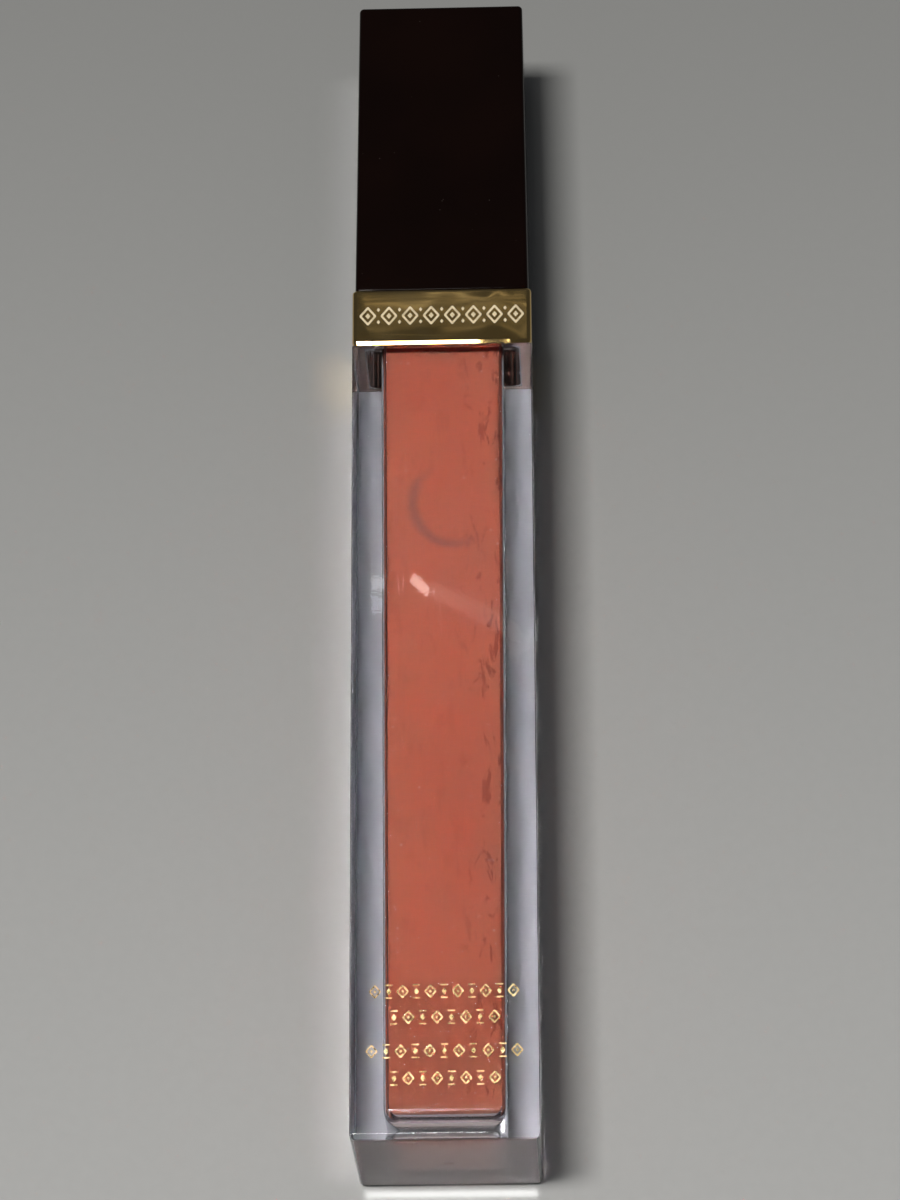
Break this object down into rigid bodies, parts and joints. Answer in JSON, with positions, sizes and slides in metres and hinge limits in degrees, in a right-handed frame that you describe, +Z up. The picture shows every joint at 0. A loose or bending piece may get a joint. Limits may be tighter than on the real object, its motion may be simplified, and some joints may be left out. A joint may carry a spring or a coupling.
{
  "type": "lip gloss tube",
  "caption": "Square clear lip gloss tube with an inner vial, a metal collar and a dark screw cap that carries a brush wand.",
  "frame": {"origin": "middle of the closed tube on the surface that it lies on, under its axis", "axes": "+Y along the tube from its base end to its cap, +Z up out of the printed front face, +X to the right of that face with the cap away from the viewer"},
  "size_m": [0.017, 0.1134, 0.017],
  "materials": {
    "clear_jacket": "clear, thick-walled and polished",
    "clear_vial": "clear, moulded",
    "gloss": "opaque coral cream gloss, wet",
    "wiper_plastic": "soft, milky",
    "seal": "soft, matt",
    "dark_plastic": "satin, moulded",
    "cap_plastic": "near-black brown, high gloss",
    "fibre": "fine dark bristles",
    "anchor_wire": "drawn wire",
    "gold": "gold, mirror polished, with satin marks"
  },
  "bodies": {
    "bottle": {"outer_jacket": "clear_jacket", "inner_vial": "clear_vial", "gloss_fill": "gloss", "wiper_insert": "wiper_plastic", "gold_collar": "gold"},
    "seal": {"seal_ring": "seal"},
    "wand": {"wand_stem": "dark_plastic", "brush_tuft": "fibre", "tuft_anchor": "anchor_wire"},
    "cap": {"inner_cap": "dark_plastic", "cap_shell": "cap_plastic"}
  },
  "joints": [
    {"name": "wand_draw", "type": "slide", "parent": "bottle", "child": "seal", "axis": [0, 1, 0], "range_m": [0, 0.09], "deforming": ["wiper_insert"]},
    {"name": "cap_rise", "type": "slide", "parent": "seal", "child": "wand", "axis": [0, 1, 0], "range_m": [0, 0.00376]},
    {"name": "cap_twist", "type": "hinge", "parent": "wand", "child": "cap", "pos_m": [0, 0, 0.0085], "axis": [0, 1, 0], "range_deg": [0, 450]}
  ],
  "couplings": [
    {"joint": "cap_rise", "follows": "cap_twist", "m_per_rad": 0.00047746}
  ]
}
